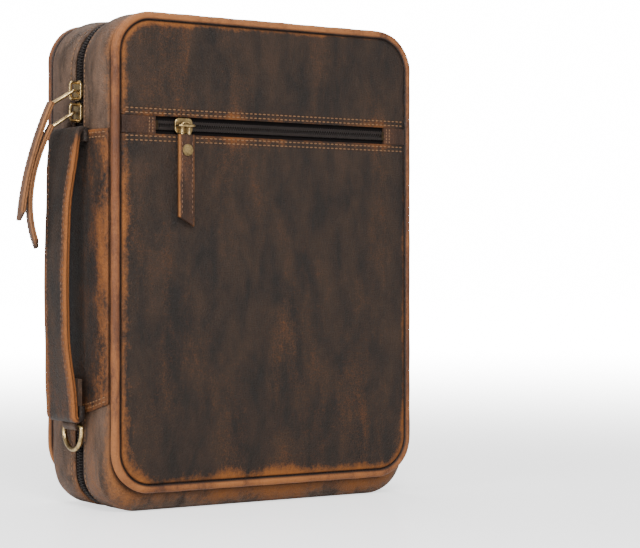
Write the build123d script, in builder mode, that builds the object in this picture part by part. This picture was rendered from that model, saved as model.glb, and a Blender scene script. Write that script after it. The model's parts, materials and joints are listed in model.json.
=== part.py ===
"""A zipped leather Bible case standing upright, with the Bible inside it.

Millimetres. +Z is up, the front panel faces -Y and the spine with its handle faces -X.
The origin is on the standing surface, under the middle of the case.
"""

import os
from math import atan2, cos, pi, radians, sin, tan

from build123d import *

# ---- driving dimensions -------------------------------------------------------------------
panel_width = 186.0  # over the welts
panel_height = 245.0  # over the welts
case_depth = 76.0  # over the front and rear leather
corner_radius = 22.0  # outside of the welt
bottom_sag = 10.0  # how far the soft bottom hangs below the welts
welt_radius = 2.4

leather = 1.8  # panels
gusset_leather = 2.0
lining = 0.6
board = 1.6  # stiffener of the front panel
rear_board_thickness = 2.6
side_swell = 2.7  # gusset beyond the welt's centre line, at the sides
top_swell = 2.0  # the same along the top
gusset_root = 1.2  # the same where the gusset leaves the welt
gusset_corner = 26.0  # corner radius of the full gusset
flat_half_depth = 24.0  # the gusset is flat across this much on each side of the middle
fit_gap = 0.1  # pieces sewn edge to edge
running_gap = 0.3  # pieces on different bodies

# main zip, round the gusset
zip_window = 10.0
tape_half_width = 8.0
tape = 0.6
coil = 1.4  # height over the tape
coil_half_width = 2.3
ear_reach = 22.0  # how far the fixed corner of the front gusset reaches from the side

# spine
spine_panel_leather = 1.4
spine_panel_top = 195.0
spine_panel_bottom = 56.0
spine_tongue = 6.0
spine_panel_margin = 0.9  # left free beside each welt
stop_height = 1.2  # brass stop across both coils
stop_play = 0.4  # from a stop to the edge of the spine panel

# handle
handle_top = 197.0
handle_bottom = 45.5
handle_end_half_width = 15.5
handle_mid_half_width = 12.0
handle_reach = 14.2  # outer face from the spine wall, at mid height
handle_end_reach = 11.0
handle_leather = 1.3
handle_filler_thickness = 0.6
handle_tab = 18.0
handle_slope = 28.0
handle_shoulder = 5.0  # straight stretch between an end and its slope
handle_end_bend = 30.0
handle_mid_bend = 60.0
handle_full_width = 14.0  # stretch of full width at each end
handle_waist = 20.0  # radius where the width changes
filler_inset = 1.5

# D-ring under the handle
ring_wire = 1.3  # radius
ring_inner_width = 17.2
ring_straight = 2.8
chape_leather = 1.2
chape_width = 14.0
ring_play = 0.25
ring_drop = 0.6  # from the handle down to the ring
ring_shoulder = 2.0
chape_neck = 3.0

# front pocket
pocket_window_bottom = 192.8
pocket_window_height = 9.0
pocket_window_left = -68.8
pocket_window_right = 74.3
pocket_tape_height = 15.0
pocket_coil_half_width = 2.3
neck_slot = 1.8
bag_bottom = 40.0
bag_ply = 0.5
bag_space = 1.7
bag_margin = 6.0
pocket_stop = 1.6
tab_recess = 0.3
board_margin = 2.0  # from the welt's centre line to the front board

# sliders and pulls
slider_length = 10.4
slider_width = 8.2
slider_plate = 1.2
slider_clearance = 0.35
slider_corner = 2.6
slider_edge = 0.45
slider_inner_plate = 1.0
flange = 0.8
flange_lap = 0.3
neck_length = 2.4
neck_width = 1.2
bail_wire = 0.8
bail_span = 8.4
bail_height = 3.8  # bail's centre line over the plate
bail_corner = 1.2
link_wire = 0.8
link_width = 6.4
link_corner = 1.8
near_bar = 3.4  # middle of a link's near bar over the coil
eye_play = 0.05
eye_leather = 0.7
upper_slider_height = 216.2
slider_gap = 1.0  # between the two sliders at rest
upper_slider_travel = 5.0
pull_width = 9.5
pull_thickness = 2.8
pocket_slider_x = -53.0
pocket_link_width = 4.2
pocket_link_drop = 6.5
pocket_pull_lap = 2.0
pocket_pull_length = 47.0
pocket_pull_width = 9.0
pocket_pull_slant = 5.0
rivet_radius = 3.0
rivet_cap = 0.7
rivet_drop = 8.0

# the book
book_height = 211.0
book_bottom = 24.5
book_board_width = 162.0
book_board = 2.6
book_square = 3.0  # boards beyond the pages
section_thickness = 12.0
book_spine_gap = 2.1  # from the case's lining to the book
book_spine_thickness = 2.4
book_spine_round = 1.7
book_gutter = 2.3  # from the covers' joint to their boards
board_corner = 5.0
band = 1.6
band_margin = 2.0
sleeve = 0.7
sleeve_mouth = -20.0

# ---- levels worked out from them ----------------------------------------------------------
half_width = panel_width / 2 - welt_radius  # to the welt's centre line
welt_low = bottom_sag + welt_radius
welt_high = bottom_sag + panel_height - welt_radius
welt_mid = (welt_low + welt_high) / 2
welt_corner = corner_radius - welt_radius
welt_y = case_depth / 2 - welt_radius
gusset_edge = welt_y - welt_radius - fit_gap
window_half = zip_window / 2
wall_x = -(half_width + side_swell)  # outside of the spine wall
ear_x = wall_x + ear_reach
spine_panel_half_width = gusset_edge - spine_panel_margin
lower_slider_height = upper_slider_height - slider_length - slider_gap
coil_inset = gusset_leather - coil

panel_y = case_depth / 2  # outside of the panels
tape_y = panel_y - leather
bag_front = tape_y - tape
bag_back = bag_front - 2 * bag_ply - bag_space
board_back = bag_back - board
front_inside = board_back - lining
rear_board_back = tape_y - rear_board_thickness
rear_inside = rear_board_back - lining
window_mid = pocket_window_bottom + pocket_window_height / 2
window_top = pocket_window_bottom + pocket_window_height


def swell(depth):
    """Side, top, bottom and corner of the gusset at this distance from the middle."""
    share = (gusset_edge - depth) / (gusset_edge - flat_half_depth)
    rise = sin(min(max(share, 0.0), 1.0) * pi / 2)
    side = gusset_root + (side_swell - gusset_root) * rise
    top = gusset_root + (top_swell - gusset_root) * rise
    bottom = gusset_root + (welt_low - gusset_root) * rise
    start_corner = welt_corner + gusset_root
    return side, top, bottom, start_corner + (gusset_corner - start_corner) * rise


def gusset_outline(y, grow):
    """Rounded outline of the case at y, grown outwards by grow."""
    side, top, bottom, corner = swell(abs(y))
    low = welt_low - bottom - grow
    high = welt_high + top + grow
    with BuildSketch(Plane.XZ.offset(-y), mode=Mode.PRIVATE) as outline:
        with Locations((0, (low + high) / 2)):
            RectangleRounded(2 * (half_width + side + grow), high - low, corner + grow)
    return outline.sketch


def gusset_block(side, grow, near, far):
    """The case's bulk from near to far of the middle, on the side +1 (rear) or -1 (front)."""
    with BuildPart(mode=Mode.PRIVATE) as bulk:
        if near < flat_half_depth:
            flat = gusset_outline(side * near, grow)
            extrude(flat, amount=min(far, flat_half_depth) - near, dir=(0, side, 0))
        if far > flat_half_depth:
            steps = 4
            reach = min(far, gusset_edge) - flat_half_depth
            depths = [flat_half_depth + reach * step / steps for step in range(steps + 1)]
            loft([gusset_outline(side * depth, grow).face() for depth in depths])
        if far > gusset_edge:
            edge = gusset_outline(side * gusset_edge, grow)
            extrude(edge, amount=far - gusset_edge, dir=(0, side, 0))
    return bulk.part


def gusset_skin(side, outer, inner, near, far):
    """A skin between two growths of the case's outline."""
    with BuildPart(mode=Mode.PRIVATE) as skin:
        add(gusset_block(side, outer, near, far))
        add(gusset_block(side, inner, near - overrun, far + overrun), mode=Mode.SUBTRACT)
    return skin.part


def panel_outline(y, inset):
    """Rounded panel, inset from the welt's centre line, on a plane at y."""
    with BuildSketch(Plane.XZ.offset(-y), mode=Mode.PRIVATE) as outline:
        with Locations((0, welt_mid)):
            RectangleRounded(
                2 * (half_width - inset), welt_high - welt_low - 2 * inset, welt_corner - inset
            )
    return outline.sketch


def panel_plate(y_outer, y_inner, inset):
    """A plate of the panel's outline between two depths."""
    with BuildPart(mode=Mode.PRIVATE) as plate:
        extrude(panel_outline(y_outer, inset), amount=y_inner - y_outer, dir=(0, 1, 0))
    return plate.part


def block(x, y, z):
    """A box between pairs of limits."""
    with BuildPart(mode=Mode.PRIVATE) as cut:
        with Locations(((x[0] + x[1]) / 2, (y[0] + y[1]) / 2, (z[0] + z[1]) / 2)):
            Box(x[1] - x[0], y[1] - y[0], z[1] - z[0])
    return cut.part


def keep(piece, name):
    """Label a finished piece and write it."""
    piece.part.label = name
    export_step(piece.part, f"parts/{name}.step")


os.makedirs("parts", exist_ok=True)

overrun = 1.0  # how far a cutter runs past what it cuts
wide = (-2 * panel_width, 2 * panel_width)
tall = (-2 * panel_height, 2 * panel_height)
zip_top_end = spine_panel_top + stop_play  # lower end of the zip's top branch
zip_low_end = spine_panel_bottom - spine_tongue - stop_play
spine_stretch = block((wide[0], ear_x), wide, (zip_low_end, zip_top_end))

# ---- welts --------------------------------------------------------------------------------
for name, y in (("front_piping", -welt_y), ("rear_piping", welt_y)):
    run = panel_outline(y, 0).wire()
    with BuildPart() as piping:
        with BuildSketch(Plane(run @ 0, z_dir=run % 0)):
            Circle(welt_radius)
        sweep(path=run)
    keep(piping, name)

# ---- gussets and the main zip -------------------------------------------------------------
with BuildPart() as rear_gusset:
    add(gusset_skin(1, 0, -gusset_leather, window_half, gusset_edge))
keep(rear_gusset, "rear_gusset")

with BuildPart() as rear_gusset_lining:
    add(gusset_skin(1, -gusset_leather, -gusset_leather - lining, tape_half_width, gusset_edge))
keep(rear_gusset_lining, "rear_gusset_lining")

front_cut = Plane.YZ.offset(ear_x)
front_layers = {
    "gusset": (0, -gusset_leather, window_half, gusset_edge),
    "gusset_lining": (-gusset_leather, -gusset_leather - lining, tape_half_width, gusset_edge),
}
for name, limits in front_layers.items():
    with BuildPart() as moving:
        add(gusset_skin(-1, *limits))
        split(bisect_by=front_cut.offset(running_gap), keep=Keep.TOP)
    keep(moving, f"front_{name}")
    with BuildPart() as fixed:
        add(gusset_skin(-1, *limits))
        split(bisect_by=front_cut, keep=Keep.BOTTOM)
    keep(fixed, f"spine_{name}")

# the slot in which the necks of both sliders run
slot_low = lower_slider_height - slider_length / 2
slot_high = upper_slider_height + slider_length / 2 + upper_slider_travel
neck_run = block((wide[0], 0), (-neck_slot / 2, neck_slot / 2), (slot_low, slot_high))
zip_layers = {
    "zip_tape": (-gusset_leather, -gusset_leather - tape, tape_half_width),
    "zip_coil": (-coil_inset, -gusset_leather, coil_half_width),
}
for name, (outer, inner, far) in zip_layers.items():
    with BuildPart() as rear_half:
        add(gusset_skin(1, outer, inner, fit_gap, far))
        add(spine_stretch, mode=Mode.SUBTRACT)
        add(neck_run, mode=Mode.SUBTRACT)
    keep(rear_half, f"rear_{name}")
    with BuildPart() as front_half:
        add(gusset_skin(-1, outer, inner, fit_gap, far))
        split(bisect_by=front_cut.offset(running_gap), keep=Keep.TOP)
    keep(front_half, f"front_{name}")
    with BuildPart() as ear_half:
        add(gusset_skin(-1, outer, inner, fit_gap, far))
        split(bisect_by=front_cut, keep=Keep.BOTTOM)
        add(spine_stretch, mode=Mode.SUBTRACT)
        add(neck_run, mode=Mode.SUBTRACT)
    keep(ear_half, f"spine_{name}")

with BuildPart() as main_zip_stops:
    for z in (zip_top_end - stop_height - fit_gap, zip_low_end + fit_gap):
        with Locations((wall_x + gusset_leather / 2, 0, z + stop_height / 2)):
            Box(gusset_leather, 2 * coil_half_width, stop_height)
keep(main_zip_stops, "main_zip_stops")

# ---- spine wall ---------------------------------------------------------------------------
stiffener_low = zip_low_end + stop_height + 2 * fit_gap
stiffener_high = zip_top_end - stop_height - 2 * fit_gap
with BuildPart() as spine_stiffener:
    add(
        block(
            (wall_x, wall_x + gusset_leather),
            (-window_half + fit_gap, window_half - fit_gap),
            (stiffener_low, stiffener_high),
        )
    )
keep(spine_stiffener, "spine_stiffener")

with BuildPart() as spine_lining:
    add(
        block(
            (wall_x + gusset_leather, wall_x + gusset_leather + lining),
            (-tape_half_width + fit_gap, tape_half_width - fit_gap),
            (stiffener_low, stiffener_high),
        )
    )
keep(spine_lining, "spine_lining")

with BuildPart() as spine_panel:
    for side in (-1, 1):
        add(gusset_skin(side, spine_panel_leather, 0, 0, spine_panel_half_width))
    with BuildSketch(Plane.YZ.offset(2 * wall_x)):
        with BuildLine():
            top_left = (-spine_panel_half_width, spine_panel_top)
            top_right = (spine_panel_half_width, spine_panel_top)
            low_left = (-spine_panel_half_width, spine_panel_bottom)
            low_right = (spine_panel_half_width, spine_panel_bottom)
            Polyline(low_left, top_left, top_right, low_right)
            ThreePointArc(low_right, (0, spine_panel_bottom - spine_tongue), low_left)
        make_face()
    extrude(amount=-2 * wall_x, mode=Mode.INTERSECT)
keep(spine_panel, "spine_panel")

# ---- handle -------------------------------------------------------------------------------
strap = 2 * handle_leather + handle_filler_thickness
panel_face = wall_x - spine_panel_leather
chape_stack = 2 * chape_leather
low_return_x = panel_face - chape_stack - strap / 2
top_return_x = panel_face - strap / 2
end_x = wall_x - handle_end_reach + strap / 2
mid_x = wall_x - handle_reach + strap / 2


def strap_face(shift, thickness):
    """Section of one layer of the strap, shifted outwards from the strap's middle."""
    low_radius = (low_return_x - end_x) / 2 + shift
    top_radius = (top_return_x - end_x) / 2 + shift
    low_z = handle_bottom + strap / 2 + (low_return_x - end_x) / 2
    top_z = handle_top - strap / 2 - (top_return_x - end_x) / 2
    low_centre = ((low_return_x + end_x) / 2, low_z)
    top_centre = ((top_return_x + end_x) / 2, top_z)
    out_end = end_x - shift
    out_mid = mid_x - shift
    lean = shift * tan(atan2(end_x - mid_x, handle_slope) / 2)
    with BuildSketch(Plane.XZ, mode=Mode.PRIVATE) as face:
        with BuildLine():
            Line((low_return_x + shift, low_z + handle_tab), (low_return_x + shift, low_z))
            CenterArc(low_centre, low_radius, 0, -180)
            FilletPolyline(
                (out_end, low_z),
                (out_end, low_z + handle_shoulder - lean),
                (out_mid, low_z + handle_shoulder + handle_slope - lean),
                (out_mid, top_z - handle_shoulder - handle_slope + lean),
                (out_end, top_z - handle_shoulder + lean),
                (out_end, top_z),
                radius=[
                    handle_end_bend - shift,
                    handle_mid_bend + shift,
                    handle_mid_bend + shift,
                    handle_end_bend - shift,
                ],
            )
            CenterArc(top_centre, top_radius, 180, -180)
            Line((top_return_x + shift, top_z), (top_return_x + shift, top_z - handle_tab))
        trace(line_width=thickness)
    return face.sketch


with BuildSketch(Plane.YZ) as strap_plan:
    with BuildLine():
        right = [
            (handle_end_half_width, handle_bottom - overrun),
            (handle_end_half_width, handle_bottom + handle_full_width),
            (handle_mid_half_width, handle_bottom + handle_full_width + handle_slope),
            (handle_mid_half_width, handle_top - handle_full_width - handle_slope),
            (handle_end_half_width, handle_top - handle_full_width),
            (handle_end_half_width, handle_top + overrun),
        ]
        left = [(-y, z) for y, z in reversed(right)]
        Polyline(*right, *left, close=True)
    make_face()
    bends = [v for v in vertices() if handle_bottom < v.Z < handle_top]
    fillet(bends, radius=handle_waist)

handle_layers = {
    "handle_strap": ((handle_leather + handle_filler_thickness) / 2, handle_leather, 0.0),
    "handle_filler": (0.0, handle_filler_thickness, filler_inset),
    "handle_lining": (-(handle_leather + handle_filler_thickness) / 2, handle_leather, 0.0),
}
for name, (shift, thickness, inset) in handle_layers.items():
    with BuildPart() as layer:
        section = strap_face(shift, thickness)
        extrude(section, amount=handle_end_half_width - inset, dir=(0, 1, 0), both=True)
        extrude(strap_plan.sketch, amount=-2 * wall_x, dir=(-1, 0, 0), mode=Mode.INTERSECT)
    keep(layer, name)

# ---- D-ring and its chape -----------------------------------------------------------------
chape_inner = ring_wire + ring_play
chape_outer = chape_inner + chape_leather
ring_x = wall_x - chape_outer - running_gap
ring_bar_z = handle_bottom - ring_wire - ring_drop
ring_half = ring_inner_width / 2 + ring_wire
with BuildPart() as d_ring:
    with BuildLine(Plane.YZ.offset(ring_x)) as run:
        bar_left = (-ring_half, ring_bar_z)
        bar_right = (ring_half, ring_bar_z)
        side_left = (-ring_half, ring_bar_z - ring_straight)
        side_right = (ring_half, ring_bar_z - ring_straight)
        FilletPolyline(
            side_left, bar_left, bar_right, side_right, radius=[ring_shoulder] * 2
        )
        ThreePointArc(side_right, (0, ring_bar_z - ring_straight - ring_half), side_left)
    with BuildSketch(
        Plane((ring_x, 0, ring_bar_z), x_dir=(1, 0, 0), z_dir=(0, 1, 0))
    ):
        Circle(ring_wire)
    sweep(path=run.wires()[0])
keep(d_ring, "d_ring")

chape_top = handle_bottom + handle_tab + 4.0
chape_low = ring_bar_z + 0.4
with BuildPart() as ring_chape:
    with BuildSketch(Plane.XZ):
        with Locations((ring_x, ring_bar_z)):
            Circle(chape_outer)
        with BuildLine():
            Polyline(
                (panel_face, chape_top),
                (panel_face, ring_bar_z + chape_outer + chape_neck),
                (ring_x + chape_outer * 0.98, chape_low),
                (ring_x - chape_outer * 0.6, chape_low),
                (panel_face - chape_stack, ring_bar_z + chape_outer + chape_neck / 2),
                (panel_face - chape_stack, chape_top),
                close=True,
            )
        make_face()
        with Locations((ring_x, ring_bar_z)):
            Circle(chape_inner, mode=Mode.SUBTRACT)
    extrude(amount=chape_width / 2, both=True)
keep(ring_chape, "ring_chape")

# ---- front panel and its zipped pocket ----------------------------------------------------
below_window = block(wide, wide, (tall[0], pocket_window_bottom))
above_window = block(wide, wide, (window_top, tall[1]))
for name, zone in (("front_panel_lower", below_window), ("front_panel_upper", above_window)):
    with BuildPart() as panel:
        add(panel_plate(-panel_y, -tape_y, welt_radius))
        add(zone, mode=Mode.INTERSECT)
    keep(panel, name)

tab_face = panel_y - tab_recess
window_zone = (pocket_window_bottom + fit_gap / 2, window_top - fit_gap / 2)
with BuildPart() as pocket_end_tabs:
    add(panel_plate(-tab_face, -tape_y, welt_radius))
    add(block(wide, wide, window_zone), mode=Mode.INTERSECT)
    add(block((pocket_window_left, pocket_window_right), wide, tall), mode=Mode.SUBTRACT)
keep(pocket_end_tabs, "pocket_end_tabs")

bag_half_width = half_width - bag_margin
pocket_slot = block(wide, wide, (window_mid - neck_slot / 2, window_mid + neck_slot / 2))
with BuildPart() as pocket_zip_tape:
    add(
        block(
            (-bag_half_width, bag_half_width),
            (-tape_y, -bag_front),
            (window_mid - pocket_tape_height / 2, window_mid + pocket_tape_height / 2),
        )
    )
    add(pocket_slot, mode=Mode.SUBTRACT)
keep(pocket_zip_tape, "pocket_zip_tape")

chain_left = pocket_window_left + pocket_stop
chain_right = pocket_window_right - pocket_stop
coil_zone = (window_mid - pocket_coil_half_width, window_mid + pocket_coil_half_width)
with BuildPart() as pocket_zip_coil:
    add(block((chain_left, chain_right), (-tape_y - coil, -tape_y), coil_zone))
    add(pocket_slot, mode=Mode.SUBTRACT)
keep(pocket_zip_coil, "pocket_zip_coil")

with BuildPart() as pocket_zip_stops:
    for x in (pocket_window_left + pocket_stop / 2, pocket_window_right - pocket_stop / 2):
        with Locations((x, -tape_y - coil / 2, window_mid)):
            Box(pocket_stop, coil, 2 * pocket_coil_half_width)
keep(pocket_zip_stops, "pocket_zip_stops")

bag_top = window_mid + pocket_tape_height / 2
slit_half = slider_width / 2 + running_gap
with BuildPart() as pocket_bag:
    add(
        block(
            (-bag_half_width, bag_half_width), (-bag_front, -bag_back), (bag_bottom, bag_top)
        )
    )
    add(
        block(
            (-bag_half_width + bag_ply, bag_half_width - bag_ply),
            (-bag_front + bag_ply, -bag_back - bag_ply),
            (bag_bottom + bag_ply, bag_top - bag_ply),
        ),
        mode=Mode.SUBTRACT,
    )
    add(
        block(
            (pocket_window_left, pocket_window_right),
            (-bag_front - overrun, -bag_front + bag_ply),
            (window_mid - slit_half, window_mid + slit_half),
        ),
        mode=Mode.SUBTRACT,
    )
keep(pocket_bag, "pocket_bag")

with BuildPart() as front_board:
    add(panel_plate(-bag_back, -board_back, board_margin))
keep(front_board, "front_board")

with BuildPart() as front_lining:
    add(panel_plate(-board_back, -front_inside, board_margin))
keep(front_lining, "front_lining")

# ---- rear panel ---------------------------------------------------------------------------
with BuildPart() as rear_panel:
    add(panel_plate(tape_y, panel_y, welt_radius))
keep(rear_panel, "rear_panel")

with BuildPart() as rear_board:
    add(panel_plate(rear_board_back, tape_y, welt_radius))
keep(rear_board, "rear_board")

with BuildPart() as rear_lining:
    add(panel_plate(rear_inside, rear_board_back, welt_radius + fit_gap))
keep(rear_lining, "rear_lining")

# ---- the book -----------------------------------------------------------------------------
book_top = book_bottom + book_height
book_spine_x = wall_x + gusset_leather + lining + book_spine_gap
spine_inner = book_spine_x + book_spine_thickness
joint_x = spine_inner + book_board / 2
board_left = joint_x + book_gutter
board_right = board_left + book_board_width
back_cover_outer = rear_inside - running_gap
back_cover_inner = back_cover_outer - book_board
sleeve_face = back_cover_inner - running_gap - sleeve
front_cover_outer = front_inside - sleeve - running_gap
front_cover_inner = front_cover_outer - book_board
section_front = front_cover_inner - running_gap
section_back = section_front - section_thickness
pages_left = spine_inner + running_gap
pages_right = board_right - book_square
pages_low = book_bottom + book_square
pages_high = book_top - book_square

with BuildPart() as front_sleeve:
    add(
        block(
            (sleeve_mouth, board_right + sleeve),
            (-front_inside, -front_inside + sleeve),
            (book_bottom, book_top),
        )
    )
keep(front_sleeve, "front_sleeve")

with BuildPart() as rear_sleeve:
    play = running_gap
    add(
        block(
            (sleeve_mouth, board_right + play + sleeve),
            (sleeve_face, rear_inside),
            (book_bottom - play - sleeve, book_top + play + sleeve),
        )
    )
    add(
        block(
            (sleeve_mouth - overrun, board_right + play),
            (sleeve_face + sleeve, rear_inside + overrun),
            (book_bottom - play, book_top + play),
        ),
        mode=Mode.SUBTRACT,
    )
keep(rear_sleeve, "rear_sleeve")

covers = {
    "book_front_cover": (-front_cover_outer, -front_cover_inner),
    "book_back_cover": (back_cover_inner, back_cover_outer),
}
for name, depth in covers.items():
    with BuildPart() as cover:
        add(block((board_left, board_right), depth, (book_bottom, book_top)))
        fore_edge = cover.edges().filter_by(Axis.Y).group_by(Axis.X)[-1]
        fillet(fore_edge, radius=board_corner)
    keep(cover, name)

with BuildPart() as book_spine:
    add(
        block(
            (book_spine_x, spine_inner), (-section_front, back_cover_inner), (book_bottom, book_top)
        )
    )
    outer_edges = book_spine.edges().filter_by(Axis.Z).group_by(Axis.X)[0]
    fillet(outer_edges, radius=book_spine_round)
keep(book_spine, "book_spine")

with BuildPart() as page_section:
    add(
        block(
            (pages_left, pages_right),
            (-section_front, -section_back),
            (pages_low, pages_high),
        )
    )
keep(page_section, "page_section")

with BuildPart() as text_block:
    add(
        block(
            (pages_left, pages_right),
            (-section_back + fit_gap, sleeve_face - fit_gap),
            (pages_low, pages_high),
        )
    )
keep(text_block, "text_block")

with BuildPart() as book_endbands:
    for z in (pages_high + band / 2, pages_low - band / 2):
        middle = (sleeve_face - section_back) / 2
        with Locations(
            Plane((pages_left + band / 2, middle, z), x_dir=(1, 0, 0), z_dir=(0, 1, 0))
        ):
            Cylinder(band / 2, sleeve_face + section_back - 2 * band_margin)
keep(book_endbands, "book_endbands")


# ---- sliders and pulls --------------------------------------------------------------------
plate_low = slider_clearance
plate_high = plate_low + slider_plate
inner_high = -coil - tape - slider_clearance
inner_low = inner_high - slider_inner_plate
bail_z = plate_high + bail_height
flange_low = -coil + flange_lap
bail_foot = plate_high - flange_lap


def slider_body(plane, head):
    """A slider on a plane whose X runs along the zip and whose Z leaves the coil's top."""
    with BuildPart(mode=Mode.PRIVATE) as body:
        with BuildSketch(plane.offset(plate_low)):
            RectangleRounded(slider_length, slider_width, slider_corner)
        extrude(amount=slider_plate)
        top_face = body.faces().sort_by(Axis(plane.origin, plane.z_dir))[-1]
        fillet(top_face.edges(), radius=slider_edge)
        with BuildSketch(plane.offset(inner_low)):
            RectangleRounded(slider_length, slider_width, slider_corner)
        extrude(amount=inner_high - inner_low)
        for side in (-1, 1):
            with BuildSketch(plane.offset(flange_low)):
                with Locations((0, side * (slider_width - flange) / 2)):
                    Rectangle(slider_length - 2 * slider_corner, flange)
            extrude(amount=plate_low - flange_low)
        with BuildSketch(plane.offset(inner_high)):
            with Locations((head * (slider_length / 2 - neck_length), 0)):
                Rectangle(neck_length, neck_width)
        extrude(amount=plate_low - inner_high)
        bail_plane = Plane(plane.origin, x_dir=plane.x_dir, z_dir=-plane.y_dir)
        with BuildLine(bail_plane) as arch:
            FilletPolyline(
                (-bail_span / 2, bail_foot),
                (-bail_span / 2, bail_z),
                (bail_span / 2, bail_z),
                (bail_span / 2, bail_foot),
                radius=[bail_corner, bail_corner],
            )
        foot = Plane(arch.line @ 0, x_dir=plane.x_dir, z_dir=arch.line % 0)
        with BuildSketch(foot):
            Circle(bail_wire)
        sweep(path=arch.wires()[0])
    return body.part


def wire_ring(plane, width, length, wire):
    """A wire ring on a plane, with its near bar's middle at the plane's origin."""
    with BuildSketch(plane, mode=Mode.PRIVATE) as shape:
        with Locations((length / 2, 0)):
            RectangleRounded(length, width, link_corner)
    run = shape.sketch.wire()
    with BuildPart(mode=Mode.PRIVATE) as ring:
        with BuildSketch(Plane(run @ 0, z_dir=run % 0)):
            Circle(wire)
        sweep(path=run)
    return ring.part


coil_face = wall_x + coil_inset
main_sliders = {
    "upper": {
        "z": upper_slider_height,
        "head": -1,
        "swing": 12.0,
        "far": (12.6, -8.0),
        "via": (22.6, -37.0),
        "tip": (27.6, -65.5),
    },
    "lower": {
        "z": lower_slider_height,
        "head": 1,
        "swing": 16.0,
        "far": (12.5, -8.5),
        "via": (20.6, -40.0),
        "tip": (20.2, -68.0),
    },
}
for name, slider in main_sliders.items():
    seat = Plane((coil_face, 0, slider["z"]), x_dir=(0, 0, 1), z_dir=(-1, 0, 0))
    with BuildPart() as body:
        add(slider_body(seat, slider["head"]))
    keep(body, f"{name}_slider")

    turn = radians(slider["swing"])
    outward = (-cos(turn), sin(turn), 0)
    across = (sin(turn), cos(turn), 0)
    hang = Plane((coil_face - near_bar, 0, slider["z"]), x_dir=outward, z_dir=across)
    far = slider["far"]
    reach = (far[0] ** 2 + far[1] ** 2) ** 0.5
    down = hang.from_local_coords(Vector(*far)) - hang.origin
    link_plane = Plane(hang.origin, x_dir=down, z_dir=down.cross(Vector(*across)))
    with BuildPart() as link:
        add(wire_ring(link_plane, link_width, reach, link_wire))
    keep(link, f"{name}_link")

    with BuildPart() as pull:
        with BuildSketch(hang):
            with BuildLine():
                ThreePointArc(far, slider["via"], slider["tip"])
            trace(line_width=pull_thickness)
            with Locations(far):
                Circle(pull_thickness / 2 + eye_leather)
        extrude(amount=pull_width / 2, both=True)
        add(wire_ring(link_plane, link_width, reach, link_wire + eye_play), mode=Mode.SUBTRACT)
    keep(pull, f"{name}_pull")

pocket_seat = Plane(
    (pocket_slider_x, -tape_y - coil, window_mid), x_dir=(1, 0, 0), z_dir=(0, -1, 0)
)
with BuildPart() as pocket_slider:
    add(slider_body(pocket_seat, 1))
keep(pocket_slider, "pocket_slider")

pocket_pull_x = pocket_slider_x
bail_y = -tape_y - coil - bail_z
leg_y = bail_y + bail_wire + link_wire + fit_gap
link_top = window_mid + bail_wire + link_wire + 2 * fit_gap
link_low = window_mid - pocket_link_drop
with BuildPart() as pocket_link:
    link_plane = Plane((pocket_pull_x, leg_y, link_top), x_dir=(0, 0, -1), z_dir=(0, -1, 0))
    add(wire_ring(link_plane, pocket_link_width, link_top - link_low, link_wire))
keep(pocket_link, "pocket_link")

pull_top = link_low + pocket_pull_lap
pull_low = pull_top - pocket_pull_length
half_pull = pocket_pull_width / 2
pull_half_thickness = pull_thickness / 2
with BuildPart() as pocket_pull:
    with BuildSketch(Plane.XZ.offset(-leg_y - pull_half_thickness)):
        with BuildLine():
            Polyline(
                (pocket_pull_x - half_pull, pull_top),
                (pocket_pull_x + half_pull, pull_top),
                (pocket_pull_x + half_pull, pull_low),
                (pocket_pull_x - half_pull, pull_low + pocket_pull_slant),
                close=True,
            )
        make_face()
    extrude(amount=pull_thickness)
    eye = wire_ring(link_plane, pocket_link_width, link_top - link_low, link_wire + eye_play)
    add(eye, mode=Mode.SUBTRACT)
keep(pocket_pull, "pocket_pull")

rivet_z = pull_top - rivet_drop
with BuildPart() as pocket_rivet:
    for side in (-1, 1):
        rivet_face = Plane(
            (pocket_pull_x, leg_y + side * pull_half_thickness, rivet_z), z_dir=(0, side, 0)
        )
        with Locations(rivet_face):
            Cylinder(rivet_radius, rivet_cap, align=(Align.CENTER, Align.CENTER, Align.MIN))
keep(pocket_rivet, "pocket_rivet")
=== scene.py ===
import bpy
import json
import math
import numpy as np
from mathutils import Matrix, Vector


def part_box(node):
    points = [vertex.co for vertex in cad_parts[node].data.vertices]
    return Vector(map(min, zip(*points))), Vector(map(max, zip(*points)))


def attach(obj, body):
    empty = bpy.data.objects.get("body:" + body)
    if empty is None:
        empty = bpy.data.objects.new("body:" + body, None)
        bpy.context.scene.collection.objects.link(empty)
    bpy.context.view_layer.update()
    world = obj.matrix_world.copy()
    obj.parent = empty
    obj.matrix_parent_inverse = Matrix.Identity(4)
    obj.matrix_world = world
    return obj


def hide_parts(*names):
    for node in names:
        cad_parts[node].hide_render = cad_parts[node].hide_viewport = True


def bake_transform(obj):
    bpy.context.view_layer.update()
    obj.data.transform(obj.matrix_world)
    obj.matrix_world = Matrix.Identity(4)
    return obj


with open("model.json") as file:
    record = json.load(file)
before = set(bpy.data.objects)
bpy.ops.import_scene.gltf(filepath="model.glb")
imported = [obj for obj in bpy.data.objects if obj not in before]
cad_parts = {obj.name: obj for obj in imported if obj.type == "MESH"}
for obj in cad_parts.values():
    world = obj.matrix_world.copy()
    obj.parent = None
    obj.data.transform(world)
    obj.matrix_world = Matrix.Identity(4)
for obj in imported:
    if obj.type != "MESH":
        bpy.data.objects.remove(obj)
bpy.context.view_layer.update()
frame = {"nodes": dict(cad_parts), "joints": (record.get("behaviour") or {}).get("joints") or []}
nodes = frame["nodes"]
mm = 0.001


def corners(node):
    low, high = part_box(node)
    return np.array(low), np.array(high)


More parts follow.
